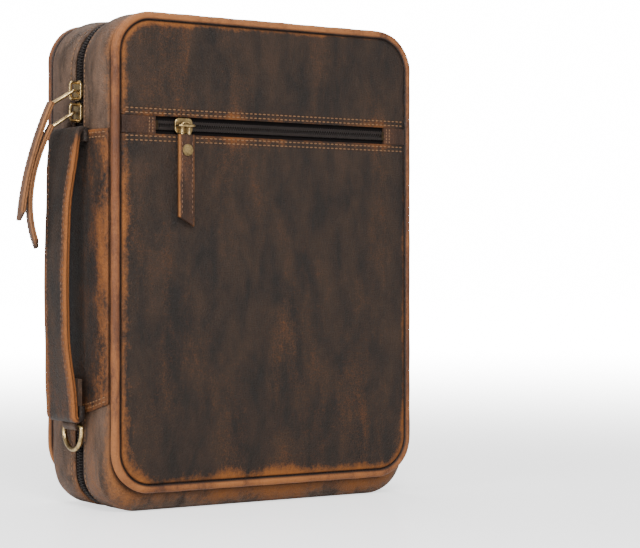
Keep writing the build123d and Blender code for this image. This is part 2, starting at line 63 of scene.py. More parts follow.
# sizes of the case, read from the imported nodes
weltLow, weltHigh = corners("front_piping")
gussetLow, gussetHigh = corners("rear_gusset")
spineLow, spineHigh = corners("spine_panel")
weltRadius = (weltHigh[1] - weltLow[1]) / 2
case = {
    "weltRadius": weltRadius,
    "halfWidth": weltHigh[0] - weltRadius,  # to the welt's centre line, and so are low and high
    "low": weltLow[2] + weltRadius,
    "high": weltHigh[2] - weltRadius,
    "weltY": -(weltLow[1] + weltHigh[1]) / 2,
    "corner": 19.6 * mm,
    "gussetCorner": 26 * mm,
    "saggedCorner": 20 * mm,  # the same at the bottom, which hangs squarer
    "root": 1.2 * mm,  # how far the gusset stands out where it leaves the welt
    "flatDepth": 24 * mm,  # the gusset is flat from the middle to here
    "edgeDepth": gussetHigh[1],
    "sideSwell": gussetHigh[0] - (weltHigh[0] - weltRadius),
    "topSwell": gussetHigh[2] - (weltHigh[2] - weltRadius),
    "zipHalf": gussetLow[1],
    "wall": gussetLow[0],
    "pocketLow": corners("front_panel_lower")[1][2],
    "pocketHigh": corners("front_panel_upper")[0][2],
}
case["midHeight"] = (case["low"] + case["high"]) / 2


# shader helpers
def feed(tree, value, socket):
    # a socket is linked, any other value is set, and a colour is solid
    if isinstance(value, bpy.types.NodeSocket):
        tree.links.new(value, socket)
    else:
        socket.default_value = (*value, 1) if socket.type == "RGBA" else value


def addNode(tree, kind, inputs=None, **settings):
    node = tree.nodes.new(kind)
    for key, value in settings.items():
        setattr(node, key, value)
    for key, value in (inputs or {}).items():
        feed(tree, value, node.inputs[key])
    return node


def noise(tree, vector, scale, detail=4.0, rough=0.55, distortion=0.0):
    inputs = {"Vector": vector, "Scale": scale, "Detail": detail, "Roughness": rough,
              "Distortion": distortion}
    return addNode(tree, "ShaderNodeTexNoise", inputs).outputs["Fac"]


def spread(tree, value, low, high, toLow=0.0, toHigh=1.0, how="LINEAR"):
    inputs = {"Value": value, "From Min": low, "From Max": high, "To Min": toLow, "To Max": toHigh}
    return addNode(tree, "ShaderNodeMapRange", inputs, interpolation_type=how).outputs["Result"]


def calc(tree, how, a, b=0.0):
    return addNode(tree, "ShaderNodeMath", {0: a, 1: b}, operation=how).outputs["Value"]


def total(tree, value, *terms):
    # the first value plus each other one times its share
    for other, share in terms:
        value = calc(tree, "ADD", value, calc(tree, "MULTIPLY", other, share))
    return value


def blendColor(tree, share, first, second):
    return addNode(tree, "ShaderNodeMix", {0: share, 6: first, 7: second}, data_type="RGBA").outputs[2]


def stretched(tree, vector, scale):
    return addNode(tree, "ShaderNodeMapping", {"Vector": vector, "Scale": scale}).outputs["Vector"]


def startMaterial(name):
    material = bpy.data.materials.new(name)
    material.use_nodes = True
    tree = material.node_tree
    return material, tree, addNode(tree, "ShaderNodeTexCoord").outputs["Object"]


def shade(tree, inputs, height=None, depth=0.0):
    # the shader's inputs, and a bump of this depth in metres
    shader = tree.nodes["Principled BSDF"]
    for key, value in inputs.items():
        feed(tree, value, shader.inputs[key])
    if height is not None:
        bump = addNode(tree, "ShaderNodeBump", {"Distance": depth, "Strength": 1.0, "Height": height})
        feed(tree, bump.outputs["Normal"], shader.inputs["Normal"])


# camera, floor and light
view = {"place": (-0.547, -0.896, 0.1215), "turn": -34.0, "lens": 108.4}
room = {"white": (1.0, 1.0, 1.0), "seen": 16.0, "light": 0.42, "floorGlow": 1.3, "glowFrom": (0.2, 2.2)}


def makeStage():
    camData = bpy.data.cameras.new("camera")
    camData.lens = view["lens"]
    camData.sensor_width = 36.0
    camData.clip_start = 0.05
    cam = bpy.data.objects.new("camera", camData)
    cam.location = view["place"]
    cam.rotation_euler = (math.radians(90.0), 0.0, math.radians(view["turn"]))
    bpy.context.collection.objects.link(cam)
    bpy.context.scene.camera = cam

    bpy.ops.mesh.primitive_plane_add(size=12.0, location=(0, 0, -0.0002))
    floor = bpy.context.object
    floor.name = "floor"
    # the floor brightens away from the object, so that it ends in the same white as the room
    floorMat, tree, place = startMaterial("paleFloor")
    far = addNode(tree, "ShaderNodeVectorMath", {0: place}, operation="LENGTH").outputs["Value"]
    glow = spread(tree, far, *room["glowFrom"], room["floorGlow"], room["seen"], "SMOOTHSTEP")
    seen = addNode(tree, "ShaderNodeLightPath").outputs["Is Camera Ray"]
    shade(tree, {"Base Color": (0.95, 0.95, 0.95), "Roughness": 0.22, "Emission Color": room["white"],
                 "Emission Strength": calc(tree, "MULTIPLY", glow, seen)})
    floor.data.materials.append(floorMat)

    lamps = {
        "keyLamp": {"place": (-0.75, -1.6, 1.3), "aim": (0, 0, 0.13), "size": 0.7, "power": 66},
        "sideLamp": {"place": (-1.9, -0.5, 0.55), "aim": (0, 0, 0.13), "size": 0.7, "power": 34},
        "fillLamp": {"place": (1.4, -1.5, 0.9), "aim": (0, 0, 0.12), "size": 1.2, "power": 7},
        "topLamp": {"place": (0.1, 0.6, 1.7), "aim": (0, 0, 0.2), "size": 1.2, "power": 30},
    }
    for name, lamp in lamps.items():
        data = bpy.data.lights.new(name, "AREA")
        data.energy = lamp["power"]
        data.size = lamp["size"]
        lampObject = bpy.data.objects.new(name, data)
        lampObject.location = lamp["place"]
        aim = Vector(lamp["aim"]) - Vector(lamp["place"])
        lampObject.rotation_euler = aim.to_track_quat("-Z", "Y").to_euler()
        bpy.context.collection.objects.link(lampObject)

    # the studio is white to the camera and softer as a light
    world = bpy.data.worlds.new("studio")
    world.use_nodes = True
    tree = world.node_tree
    sky = tree.nodes["Background"].inputs
    seen = addNode(tree, "ShaderNodeLightPath").outputs["Is Camera Ray"]
    feed(tree, room["white"], sky["Color"])
    feed(tree, spread(tree, seen, 0.0, 1.0, room["light"], room["seen"]), sky["Strength"])
    bpy.context.scene.world = world


makeStage()
print("stage: camera, floor and lamps")


# mesh helpers
def addMesh(name, points, faces, material, attributes=None):
    # one smooth mesh from points and faces, with a value per point for each attribute
    mesh = bpy.data.meshes.new(name)
    faces = faces if isinstance(faces, list) else faces.tolist()
    mesh.from_pydata(points.reshape(-1, 3).tolist(), [], faces)
    mesh.polygons.foreach_set("use_smooth", np.ones(len(mesh.polygons), dtype=bool))
    for key, values in (attributes or {}).items():
        layer = mesh.attributes.new(key, "FLOAT", "POINT")
        layer.data.foreach_set("value", np.ascontiguousarray(values, dtype=np.float32).ravel())
    mesh.materials.append(material)
    mesh.update()
    piece = bpy.data.objects.new(name, mesh)
    bpy.context.collection.objects.link(piece)
    return piece


def gridFaces(rows, columns, closeRows=False, closeColumns=False):
    # quads between neighbours of a rows x columns grid, wrapping where it is closed
    r = np.arange(rows if closeRows else rows - 1)
    c = np.arange(columns if closeColumns else columns - 1)
    a, b = np.meshgrid(r, c, indexing="ij")
    nextA = (a + 1) % rows
    nextB = (b + 1) % columns
    near, far = a * columns, nextA * columns
    return np.stack([near + b, near + nextB, far + nextB, far + b], -1).reshape(-1, 4)


def tubeFaces(rows, columns):
    # a grid closed along its columns, with one face over its first row and one over its last
    first = np.arange(columns)[::-1]
    last = (rows - 1) * columns + np.arange(columns)
    return gridFaces(rows, columns, closeColumns=True).tolist() + [first.tolist(), last.tolist()]


def normalise(vectors):
    return vectors / np.maximum(np.linalg.norm(vectors, axis=-1, keepdims=True), 1e-12)


def turnOutwards(piece):
    bpy.ops.object.select_all(action="DESELECT")
    piece.select_set(True)
    bpy.context.view_layer.objects.active = piece
    bpy.ops.object.mode_set(mode="EDIT")
    bpy.ops.mesh.select_all(action="SELECT")
    bpy.ops.mesh.normals_make_consistent(inside=False)
    bpy.ops.object.mode_set(mode="OBJECT")
    return piece


def thicken(piece, thickness):
    # the mesh is the outside of the leather, whose thickness goes inwards
    leather = piece.modifiers.new("leather", "SOLIDIFY")
    leather.thickness = thickness
    leather.offset = -1.0


def facing(direction, count):
    return np.tile(np.array(direction, dtype=float), (count, 1))


# how a rounded rectangle is walked: each station holds the signs of the corner it is at, those of the
# corner it goes to, the angle it faces and its share of the way between the two
def makeWalk(sideSteps=70, topSteps=52, arcSteps=14):
    signs = [(1, 1), (-1, 1), (-1, -1), (1, -1)]
    stations = []
    for k, here in enumerate(signs):
        start = 90.0 * k
        for angle in np.linspace(start, start + 90, arcSteps, endpoint=False):
            stations.append((*here, *here, angle, 0.0))
        steps = topSteps if k % 2 == 0 else sideSteps
        for share in np.linspace(0, 1, steps, endpoint=False):
            stations.append((*here, *signs[(k + 1) % 4], start + 90, share))
    return np.array(stations)


walk = makeWalk()


def outlinePoints(halfWidth, low, high, corner, lowCorner=None):
    # point and outward normal for every station (rows) and every size given (columns):
    # the corner's centre plus a turned radius, mixed with the next corner's along a straight side
    lowCorner = corner if lowCorner is None else lowCorner
    sizes = (halfWidth, low, high, corner, lowCorner)
    halfWidth, low, high, corner, lowCorner = [np.atleast_1d(v)[None, :] for v in sizes]
    mid = (low + high) / 2
    halfHeight = (high - low) / 2
    hereX, hereZ, nextX, nextZ, angle, share = walk.T[..., None]
    cos, sin = np.cos(np.radians(angle)), np.sin(np.radians(angle))

    def cornerPoint(signX, signZ):
        r = np.where(signZ > 0, corner, lowCorner)
        return np.stack([signX * (halfWidth - r) + r * cos, mid + signZ * (halfHeight - r) + r * sin])

    x, z = cornerPoint(hereX, hereZ) * (1 - share) + cornerPoint(nextX, nextZ) * share
    return x, z, cos + 0 * x, sin + 0 * x


def swell(depth):
    # gusset sizes at a distance from the middle: a quarter sine from the welt to the flat
    share = np.clip((case["edgeDepth"] - np.abs(depth)) / (case["edgeDepth"] - case["flatDepth"]), 0, 1)
    rise = np.sin(share * np.pi / 2)
    side = case["root"] + (case["sideSwell"] - case["root"]) * rise
    top = case["root"] + (case["topSwell"] - case["root"]) * rise
    bottom = case["root"] + (case["low"] - case["root"]) * rise
    start = case["corner"] + case["root"]
    corner = start + (case["gussetCorner"] - start) * rise
    return side, top, bottom, corner, start + (case["saggedCorner"] - start) * rise


def gussetPoints(depth, out):
    # stations x profile points on the gusset, moved outwards by out
    side, top, bottom, corner, lowCorner = swell(depth)
    x, z, nx, nz = outlinePoints(case["halfWidth"] + side + out, case["low"] - bottom - out,
                                 case["high"] + top + out, corner + out, lowCorner + out)
    y = np.broadcast_to(depth[None, :], x.shape)
    return np.stack([x, y, z], -1), np.stack([nx, 0 * nx, nz], -1)


def softWave(x, y, z, size=0.03):
    # slow folds from a few sines that never repeat together
    a = np.sin(x / size * 1.7 + 0.9 * np.sin(z / size) + 1.3)
    b = np.sin(z / size * 1.3 + 1.1 * np.sin(y / size * 1.9) + 0.4)
    c = np.sin((x + y + z) / size * 0.83 + 2.1)
    return (a + b + c) / 3


# materials
grain = {
    "upright": 0.38,  # the clouds and the mottle are this much longer upwards
    "clouds": 26.0,
    "mottle": 95.0,
    "fine": 520.0,
    "pores": 620.0,
    "cracks": 640.0,
    "crackWidth": 0.12,
    "crackShare": 0.3,
    "crackBend": 0.0035,
    "bendScale": 260.0,
    # where each tone starts and where it is full
    "bodyFrom": (0.36, 0.66),
    "rustFrom": (1.0, 1.32),
    "tanFrom": (1.12, 1.6),
    "crackFrom": (1.02, 1.3),
    "rough": (0.3, 0.95, 0.46, 0.74),
}
toneNames = ("Dark", "Body", "Rust", "Tan")


def makeLeatherGroup():
    # waxed leather: dark body with upright rust clouds, rubbed tan where wear is high,
    # light cracks between the two, then pores and creases as height
    group = bpy.data.node_groups.new("waxedLeather", "ShaderNodeTree")
    kinds = {"Vector": "Vector", "Wear": "Float", "Clouds": "Float", **dict.fromkeys(toneNames, "Color")}
    for name, kind in kinds.items():
        group.interface.new_socket(name, in_out="INPUT", socket_type=f"NodeSocket{kind}")
    for name, kind in {"Color": "Color", "Roughness": "Float", "Height": "Float"}.items():
        group.interface.new_socket(name, in_out="OUTPUT", socket_type=f"NodeSocket{kind}")
    src = group.nodes.new("NodeGroupInput").outputs
    out = group.nodes.new("NodeGroupOutput").inputs
    upright = stretched(group, src["Vector"], (1.0, 1.0, grain["upright"]))
    big = noise(group, upright, grain["clouds"], 6.0, 0.66, 0.5)
    mid = noise(group, upright, grain["mottle"], 6.0, 0.68, 0.3)
    fine = noise(group, src["Vector"], grain["fine"], 5.0, 0.72)
    tone = blendColor(group, spread(group, mid, *grain["bodyFrom"]), src["Dark"], src["Body"])
    wear = calc(group, "MULTIPLY", src["Wear"], spread(group, big, 0.3, 0.62, 0.62, 1.15))
    cloud = total(group, big, (mid, 0.5), (fine, 0.3), (src["Clouds"], 1.0), (wear, 0.45))
    rustShare = calc(group, "MULTIPLY", spread(group, cloud, *grain["rustFrom"]), 0.9)
    tone = blendColor(group, rustShare, tone, src["Rust"])
    rub = total(group, wear, (mid, 0.75), (fine, 0.55), (big, 0.35))
    rubShare = spread(group, rub, *grain["tanFrom"])
    tone = blendColor(group, rubShare, tone, src["Tan"])
    bend = addNode(group, "ShaderNodeTexNoise", {"Vector": src["Vector"], "Scale": grain["bendScale"]})
    bent = addNode(group, "ShaderNodeVectorMath", {
        0: bend.outputs["Color"], 1: (grain["crackBend"],) * 3, 2: src["Vector"],
    }, operation="MULTIPLY_ADD").outputs["Vector"]
    crack = addNode(group, "ShaderNodeTexVoronoi", {"Vector": bent, "Scale": grain["cracks"]},
                    feature="DISTANCE_TO_EDGE")
    line = spread(group, crack.outputs["Distance"], 0.0, grain["crackWidth"], 1.0, 0.0)
    where = spread(group, total(group, cloud, (fine, 0.3)), *grain["crackFrom"])
    crackShare = calc(group, "MULTIPLY", calc(group, "MULTIPLY", line, where), grain["crackShare"])
    feed(group, blendColor(group, crackShare, tone, src["Tan"]), out["Color"])
    feed(group, spread(group, total(group, mid, (rubShare, 0.3)), *grain["rough"]), out["Roughness"])
    pores = addNode(group, "ShaderNodeTexVoronoi", {"Vector": src["Vector"], "Scale": grain["pores"]},
                    feature="DISTANCE_TO_EDGE")
    creases = calc(group, "MULTIPLY", spread(group, pores.outputs["Distance"], 0.0, 0.18), 0.45)
    feed(group, total(group, creases, (fine, 0.9), (mid, 1.2), (line, -0.35)), out["Height"])
    return group


leatherGroup = makeLeatherGroup()
# painted shade: the near black mixed into the leather in seams and grooves, where shadow falls
seamShadow = (0.006, 0.003, 0.002)


def makeLeather(name, tones, clouds, wear=0.0, bump=0.00035, shine=0.14):
    # the shared skin with this leather's own tones, with painted shade mixed in where the seam groove mask
    # is high
    material, tree, place = startMaterial(name)
    rubbed = addNode(tree, "ShaderNodeAttribute", attribute_name="wear").outputs["Fac"]
    grooveShade = addNode(tree, "ShaderNodeAttribute", attribute_name="grooveShade").outputs["Fac"]
    inputs = {"Vector": place, "Wear": calc(tree, "ADD", rubbed, wear), "Clouds": clouds}
    inputs.update(zip(toneNames, tones))
    skin = addNode(tree, "ShaderNodeGroup", inputs, node_tree=leatherGroup)
    shade(tree, {
        "Base Color": blendColor(tree, grooveShade, skin.outputs["Color"], seamShadow),
        "Roughness": skin.outputs["Roughness"],
        "Specular IOR Level": shine,
    }, skin.outputs["Height"], bump)
    return material


# the dark, body, rust and tan tones of each leather, and what else sets it apart
leathers = {
    "panelLeather": {
        "tones": ((0.012, 0.009, 0.0075), (0.03, 0.018, 0.012), (0.075, 0.025, 0.008), (0.19, 0.066, 0.016)),
        "clouds": -0.07,
    },
    "gussetLeather": {
        "tones": ((0.03, 0.019, 0.013), (0.105, 0.064, 0.044), (0.105, 0.045, 0.02), (0.19, 0.072, 0.022)),
        "clouds": -0.03,
        "wear": 0.06,
    },
    "spineLeather": {
        "tones": ((0.01, 0.008, 0.007), (0.026, 0.016, 0.011), (0.08, 0.027, 0.009), (0.185, 0.064, 0.017)),
        "clouds": 0.0,
    },
    "weltLeather": {
        "tones": ((0.055, 0.018, 0.006), (0.12, 0.038, 0.01), (0.15, 0.048, 0.012), (0.235, 0.085, 0.023)),
        "clouds": 0.0,
        "wear": 0.25,
        "bump": 0.00025,
        "shine": 0.28,
    },
    "strapLeather": {
        "tones": ((0.013, 0.01, 0.0085), (0.032, 0.02, 0.014), (0.075, 0.029, 0.012), (0.19, 0.066, 0.018)),
        "clouds": -0.05,
    },
    "pullLeather": {
        "tones": ((0.055, 0.028, 0.017), (0.135, 0.07, 0.042), (0.12, 0.042, 0.014), (0.22, 0.095, 0.038)),
        "clouds": 0.0,
    },
    "tabLeather": {
        "tones": ((0.018, 0.01, 0.007), (0.045, 0.022, 0.014), (0.08, 0.028, 0.01), (0.2, 0.08, 0.026)),
        "clouds": 0.05,
    },
    "coverLeather": {
        "tones": ((0.006, 0.004, 0.004), (0.012, 0.008, 0.008), (0.014, 0.009, 0.008), (0.04, 0.028, 0.022)),
        "clouds": -0.3,
    },
}
mats = {name: makeLeather(name, **look) for name, look in leathers.items()}


def makeFabric(name, color, second, threads, sheen=0.25, shine=0.5):
    # plain weave: one wave along each axis, of which two cross in the cloth's own plane
    material, tree, place = startMaterial(name)
    waves = [addNode(tree, "ShaderNodeTexWave", {"Vector": place, "Scale": threads}, bands_direction=axis)
             for axis in ("X", "Y", "Z")]
    x, y, z = [wave.outputs["Fac"] for wave in waves]
    weave = calc(tree, "MULTIPLY", calc(tree, "MULTIPLY", x, y), z)
    tone = blendColor(tree, spread(tree, weave, 0.0, 0.5), second, color)
    tone = blendColor(tree, spread(tree, noise(tree, place, 60.0), 0.3, 0.8, 0.0, 0.35), tone, second)
    shade(tree, {"Base Color": tone, "Roughness": 0.9, "Specular IOR Level": shine, "Sheen Weight": sheen},
          weave, 0.0002)
    return material


def makeBrass(name, bright, dull):
    # old brass: bright where it is handled, brown in the low places
    material, tree, place = startMaterial(name)
    stain = noise(tree, place, 260.0, 6.0, 0.65)
    tone = blendColor(tree, spread(tree, stain, 0.42, 0.66), bright, dull)
    rough = spread(tree, stain, 0.3, 0.75, 0.2, 0.5)
    pits = noise(tree, place, 900.0)
    shade(tree, {"Base Color": tone, "Metallic": 1.0, "Roughness": rough}, pits, 0.00006)
    return material


def makePaper():
    # the leaves show as fine lines along the block's edges
    material, tree, place = startMaterial("bookPaper")
    split = addNode(tree, "ShaderNodeSeparateXYZ", {"Vector": place})
    depth = total(tree, split.outputs["Y"], (noise(tree, place, 40.0), 0.0001))
    leaf = calc(tree, "SINE", calc(tree, "MULTIPLY", depth, 14000.0))
    lines = noise(tree, stretched(tree, place, (1.5, 2600.0, 1.5)), 1.0, 2.0, 0.5)
    share = calc(tree, "MULTIPLY", spread(tree, calc(tree, "ADD", leaf, lines), -0.6, 1.6), 0.3)
    tone = blendColor(tree, share, (0.68, 0.56, 0.38), (0.40, 0.31, 0.19))
    shade(tree, {"Base Color": tone, "Roughness": 0.8}, leaf, 0.00008)
    return material


def makePlain(name, first, second, scale, detail=4.0, inputs=None, bumpScale=None):
    # two tones mixed by noise, and a low bump where a scale is given for it
    material, tree, place = startMaterial(name)
    tone = blendColor(tree, noise(tree, place, scale, detail), first, second)
    rough = (inputs or {}).get("Roughness", 0.6)
    if isinstance(rough, tuple):
        rough = spread(tree, noise(tree, place, 300.0), *rough)
    height = noise(tree, place, bumpScale) if bumpScale else None
    shade(tree, {**(inputs or {}), "Base Color": tone, "Roughness": rough}, height, 0.0001)
    return material


def keep(maker, looks):
    for name, look in looks.items():
        mats[name] = maker(name, *look)


keep(makeFabric, {
    "liningCloth": ((0.055, 0.042, 0.034), (0.025, 0.019, 0.016), 260.0),
    "tapeCloth": ((0.012, 0.007, 0.006), (0.004, 0.003, 0.003), 330.0, 0.02, 0.1),
    "bandCloth": ((0.4, 0.06, 0.05), (0.7, 0.6, 0.4), 300.0),
})
keep(makeBrass, {
    "oldBrass": ((0.44, 0.31, 0.14), (0.10, 0.065, 0.03)),
    "blackBrass": ((0.05, 0.035, 0.02), (0.02, 0.014, 0.01)),
})
keep(makePlain, {
    "zipNylon": ((0.004, 0.003, 0.003), (0.016, 0.011, 0.009), 500.0, 4.0,
                 {"Roughness": (0.3, 0.7, 0.3, 0.55), "Specular IOR Level": 0.18}),
    "waxedThread": ((0.18, 0.085, 0.03), (0.10, 0.043, 0.014), 700.0),
    "dullThread": ((0.11, 0.045, 0.017), (0.06, 0.025, 0.01), 700.0),
    "fibreBoard": ((0.30, 0.22, 0.14), (0.42, 0.33, 0.22), 300.0, 6.0, {"Roughness": 0.85}, 600.0),
})
mats["bookPaper"] = makePaper()

nodeLooks = {
    "panelLeather": ["rear_panel", "front_panel_upper", "front_panel_lower"],
    "spineLeather": ["spine_panel"],
    "tabLeather": ["pocket_end_tabs"],
    "gussetLeather": ["rear_gusset", "spine_gusset", "front_gusset", "ring_chape"],
    "weltLeather": ["front_piping", "rear_piping"],
    "strapLeather": ["handle_strap", "handle_lining", "handle_filler"],
    "pullLeather": ["upper_pull", "lower_pull", "pocket_pull"],
    "liningCloth": [
        "rear_lining", "rear_gusset_lining", "spine_gusset_lining", "spine_lining", "front_lining",
        "front_gusset_lining", "pocket_bag", "front_sleeve", "rear_sleeve",
    ],
    "tapeCloth": ["rear_zip_tape", "spine_zip_tape", "front_zip_tape", "pocket_zip_tape"],
    "zipNylon": ["rear_zip_coil", "spine_zip_coil", "front_zip_coil", "pocket_zip_coil"],
    "oldBrass": [
        "main_zip_stops", "d_ring", "upper_slider", "lower_slider",
        "pocket_slider", "upper_link", "lower_link", "pocket_link", "pocket_rivet",
    ],
    "blackBrass": ["pocket_zip_stops"],
    "fibreBoard": ["rear_board", "front_board", "spine_stiffener"],
    "coverLeather": ["book_back_cover", "book_front_cover", "book_spine"],
    "bookPaper": ["text_block", "page_section"],
    "bandCloth": ["book_endbands"],
}
for look, names in nodeLooks.items():
    for name in names:
        for materialSlot in nodes[name].material_slots:
            materialSlot.material = mats[look]
print("materials:", len(mats))


# stitches and zip loops: an oval for each, laid along a line
def addOvals(name, centre, along, side, up, size, material):
    # an ellipsoid at every centre, its poles on the first direction; size holds its three half lengths
    rings = np.radians([0, 38, 90, 142, 180])
    around = np.radians(np.arange(6) * 60.0)
    u, v = np.meshgrid(rings, around, indexing="ij")
    local = np.stack([np.cos(u), np.sin(u) * np.cos(v), np.sin(u) * np.sin(v)], -1).reshape(-1, 3)
    local = local * np.array(size)
    points = (centre[:, None] + local[None, :, :1] * along[:, None]
              + local[None, :, 1:2] * side[:, None] + local[None, :, 2:] * up[:, None])
    one = gridFaces(len(rings), len(around), closeColumns=True)
    faces = (one[None] + (np.arange(len(centre)) * len(local))[:, None, None]).reshape(-1, 4)
    piece = addMesh(name, points, faces, material)
    bpy.context.view_layer.objects.active = piece
    merge = piece.modifiers.new("merge", "WELD")
    merge.merge_threshold = 1e-6
    bpy.ops.object.modifier_apply(modifier="merge")
    return turnOutwards(piece)


def spaced(points, normals, pitch, start=0.5):
    # centres, tangents and normals at an even pitch along a line
    steps = np.linalg.norm(np.diff(points, axis=0), axis=1)
    run = np.concatenate([[0], np.cumsum(steps)])
    count = max(int(run[-1] / pitch), 2)
    at = (np.arange(count) + start) * run[-1] / count
    centre, ahead, behind = [
        np.stack([np.interp(at + shift, run, points[:, i]) for i in range(3)], -1)
        for shift in (0, 0.4 * mm, -0.4 * mm)
    ]
    up = normalise(np.stack([np.interp(at, run, normals[:, i]) for i in range(3)], -1))
    return centre, normalise(ahead - behind), up


def addStitches(name, points, normals, body, look):
    # a row of flattened ovals, lifted off the leather
    look = {"pitch": 3.0 * mm, "length": 2.0 * mm, "radius": 0.32 * mm, "lift": 0.1 * mm,
            "flat": 0.75, "thread": "waxedThread", **look}
    centre, along, up = spaced(points, normals, look["pitch"])
    size = (look["length"] / 2, look["radius"], look["radius"] * look["flat"])
    centre = centre + up * look["lift"]
    piece = addOvals(name, centre, along, np.cross(up, along), up, size, mats[look["thread"]])
    carry(piece, body)


# the front half's edge beside the zip bends when the case opens; here its pieces are baked in place and go
# with no body
halves = (("rear", 1, "case_back"), ("front", -1, "spineBend"))


def carry(piece, body):
    if body == "spineBend":
        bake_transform(piece)
    else:
        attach(piece, body)


def replaceHalf(tag, part):
    # the front half's pieces also stand for the fixed corner beside the spine
    corner = [f"spine_{part}"] if tag == "front" else []
    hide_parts(f"{tag}_{part}", *corner)


weltLook = {"ripple": 0.03, "slowRipple": 0.02, "rub": 0.25, "rubChange": 0.2}


def addWelt(name, node, y, body):
    # a circle carried round the outline, its radius rippled by two sines, with painted shade in the seams
    # beside it
    around = np.radians(np.linspace(0, 360, 28, endpoint=False))
    x, z, nx, nz = outlinePoints(case["halfWidth"], case["low"], case["high"], case["corner"])
    centre = np.stack([x, 0 * x + y, z], -1)
    normal = np.stack([nx, 0 * nx, nz], -1)
    run = np.arange(len(walk))[:, None] * 0.9
    ripple = weltLook["ripple"] * np.sin(run) + weltLook["slowRipple"] * np.sin(run * 0.37 + 1)
    bead = case["weltRadius"] * (1.0 + ripple)
    front = np.sign(-y) * np.array([0, -1.0, 0])
    points = centre + bead[..., None] * (
        np.cos(around)[None, :, None] * normal + np.sin(around)[None, :, None] * front
    )
    # painted shade lies in the grooves where the bead meets the panel and the gusset
    angle = np.degrees(around)
    dark = np.interp(angle, [0, 104, 132, 178, 270, 300, 334, 360], [0, 0, 1, 1, 1, 1, 0, 0])
    grooveShade = dark[None, :] + 0 * run
    wear = weltLook["rub"] + weltLook["rubChange"] * np.sin(run * 0.05) + 0 * angle[None, :]
    faces = gridFaces(len(walk), len(around), True, True)
    piece = addMesh(name, points, faces, mats["weltLeather"], {"grooveShade": grooveShade, "wear": wear})
    turnOutwards(piece)
    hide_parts(node)
    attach(piece, body)


addWelt("frontWelt", "front_piping", -case["weltY"], "case_front")
addWelt("rearWelt", "rear_piping", case["weltY"], "case_back")
print("welts")


# gussets: leather between welt and zip, its edge turned in beside the tape
gussetLook = {
    "thick": 2.0 * mm,
    "seam": 2.6 * mm,  # stitch line, from the leather's edge
    "seamDip": 0.35 * mm,
    "weltDip": 1.3 * mm,
    "folds": 0.45 * mm,
    "foldSize": 0.021,
    "puff": 0.7 * mm,
    "cornerPuff": 1.6 * mm,  # added at the upper corners
    "rub": {"welt": 0.6, "zip": 0.12, "low": 0.22, "high": 0.08},
}


def gussetSkin(depth, out, side, outer):
    # the swell, less a dip at the welt and one under the stitches, plus slow folds,
    # plus a half sine from zip to welt that stands highest at the upper corners
    edge = case["zipHalf"]
    fromWelt = case["edgeDepth"] - depth
    out = out - gussetLook["weltDip"] * np.exp(-fromWelt / (0.9 * mm)) * outer
    dip = np.exp(-(((depth - edge - gussetLook["seam"]) / (0.7 * mm)) ** 2))
    out = out - gussetLook["seamDip"] * dip * outer
    points, normals = gussetPoints(depth, out)
    points = points * np.array([1, side, 1])
    x, y, z = points[..., 0], points[..., 1], points[..., 2]
    fade = np.clip(fromWelt / (9 * mm), 0, 1) * np.clip((depth - edge) / (5 * mm), 0, 1) * outer
    fold = softWave(x, y * 2.2 * side, z, gussetLook["foldSize"]) * gussetLook["folds"]
    aboveFloor = np.clip((z - 3 * mm) / (8 * mm), 0, 1)
    full = np.sin(np.clip((depth - edge) / (case["edgeDepth"] - edge), 0, 1) * np.pi) ** 1.3
    aloft = np.clip((z - 0.19) / 0.03, 0, 1) * np.clip(np.abs(normals[..., 0]) * 1.5, 0, 1)
    puff = full * (gussetLook["puff"] + gussetLook["cornerPuff"] * aloft)
    return points + normals * ((fold * fade + puff) * aboveFloor)[..., None], normals


def addGusset(tag, side, body):
    # the profile runs from the welt to the zip, round the edge and back inside, carried round the outline
    t = gussetLook["thick"]
    rub = gussetLook["rub"]
    edge = case["zipHalf"]
    outerDepths = np.concatenate([
        case["edgeDepth"] - np.array([0, 0.5, 1.0, 1.6, 2.4, 3.6, 5.2, 7.2]) * mm,
        np.linspace(case["flatDepth"], edge + 3.2 * mm, 9)[:-1],
        [edge + 3.2 * mm, edge + 2.6 * mm, edge + 2.0 * mm, edge + 1.2 * mm],
    ])
    turn = np.radians(np.linspace(90, -90, 7))
    edgeDepths = edge + t / 2 - np.cos(turn) * t / 2
    innerDepths = np.linspace(edge + 2 * mm, case["edgeDepth"], 8)
    depth = np.concatenate([outerDepths, edgeDepths, innerDepths])
    out = np.concatenate([0 * outerDepths, (np.sin(turn) - 1) * t / 2, 0 * innerDepths - t])
    outer = (out > -t / 2) * 1.0
    points, _ = gussetSkin(depth, out, side, outer)
    z = points[..., 2]
    fromWelt = case["edgeDepth"] - depth
    # rubbed along the welt, a little beside the zip, along the floor and along the top
    nearWelt = np.clip(1 - fromWelt / (6 * mm), 0, 1) ** 0.9 * rub["welt"]
    nearZip = np.clip(1 - (depth - edge) / (3 * mm), 0, 1) * rub["zip"]
    low = np.clip(1 - z / (60 * mm), 0, 1) * rub["low"]
    high = np.clip((z - case["high"] + 6 * mm) / (10 * mm), 0, 1) * rub["high"]
    wear = np.clip(np.maximum(nearWelt, nearZip)[None, :] + (low + high) * outer, 0, 1)
    # painted shade in the groove along the welt
    grooveShade = np.clip(1.6 - fromWelt / (1.2 * mm), 0, 1)[None, :] + 0 * z
    faces = gridFaces(*points.shape[:2], True, True)
    shades = {"wear": wear, "grooveShade": grooveShade}
    piece = addMesh(f"{tag}GussetLeather", points, faces, mats["gussetLeather"], shades)
    turnOutwards(piece)
    replaceHalf(tag, "gusset")
    carry(piece, body)


for tag, side, body in halves:
    addGusset(tag, side, body)


def clearOfSpine(line, lowZ, highZ, reach):
    # the loop's stations in order, from one end of the spine panel round to the other
    under = (line[:, 0] < case["wall"] + reach) & (line[:, 2] > lowZ) & (line[:, 2] < highZ)
    order = (np.arange(len(line)) + np.where(under)[0][-1]) % len(line)
    return order[~under[order]]


